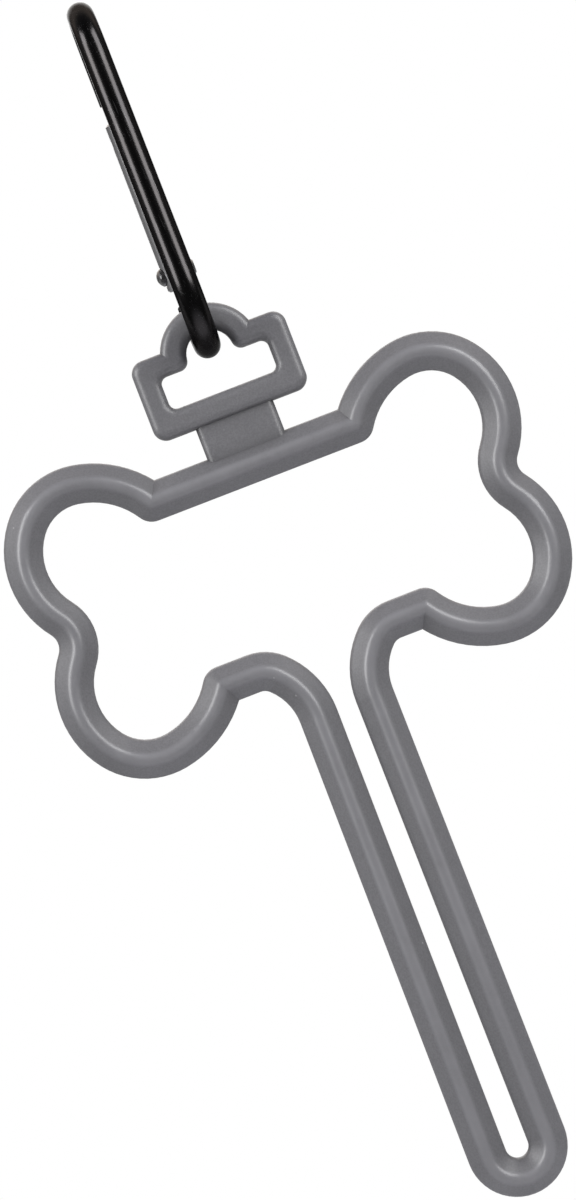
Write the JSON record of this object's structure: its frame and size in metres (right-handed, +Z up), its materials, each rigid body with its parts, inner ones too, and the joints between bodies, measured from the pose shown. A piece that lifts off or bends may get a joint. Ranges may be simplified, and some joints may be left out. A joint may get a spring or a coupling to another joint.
{
  "type": "dog waste bag holder",
  "caption": "Bone-shaped open holder of ridged rod with a slotted stem for tied bags, hanging by a small hanger loop from a spring-gate carabiner.",
  "frame": {"origin": "seat of the leash ring: the highest point of the inner side of the carabiner's top bend", "axes": "+Z up as the object hangs, +X to the right along the bone, the flat holder in the XZ plane, the carabiner in the YZ plane with its spine on the -Y side and its gate on the +Y side"},
  "size_m": [0.0872, 0.0256, 0.2057],
  "materials": {
    "holder_plastic": "satin, cool grey, tough moulded plastic",
    "black_anodised": "gloss black anodised",
    "bare_aluminium": "satin, bare",
    "rivet_steel": "satin",
    "spring_steel": "bright drawn"
  },
  "bodies": {
    "carabiner": {"carabiner_body": "black_anodised", "gate_hinge_rivet": "rivet_steel"},
    "gate": {"gate": "bare_aluminium", "gate_latch_pin": "rivet_steel", "gate_spring": "spring_steel"},
    "plunger": {"spring_plunger": "spring_steel"},
    "holder": {"bag_holder": "holder_plastic"}
  },
  "joints": [
    {"name": "gate_hinge", "type": "hinge", "parent": "carabiner", "child": "gate", "pos_m": [0, 0.01026, -0.04095], "axis": [1, 0, 0], "range_deg": [0, 26], "stiffness_Nm_per_rad": 0.015, "springref_deg": -11.46},
    {"name": "plunger_slide", "type": "slide", "parent": "gate", "child": "plunger", "axis": [0, -0.0892, 0.996], "range_m": [0, 0.00062], "deforming": ["gate_spring"]},
    {"name": "holder_swing", "type": "hinge", "parent": "carabiner", "child": "holder", "pos_m": [0, 0, -0.04405], "axis": [1, 0, 0], "range_deg": [-75, 65]}
  ],
  "couplings": [
    {"joint": "plunger_slide", "follows": "gate_hinge", "m_per_rad": 0.001322}
  ]
}
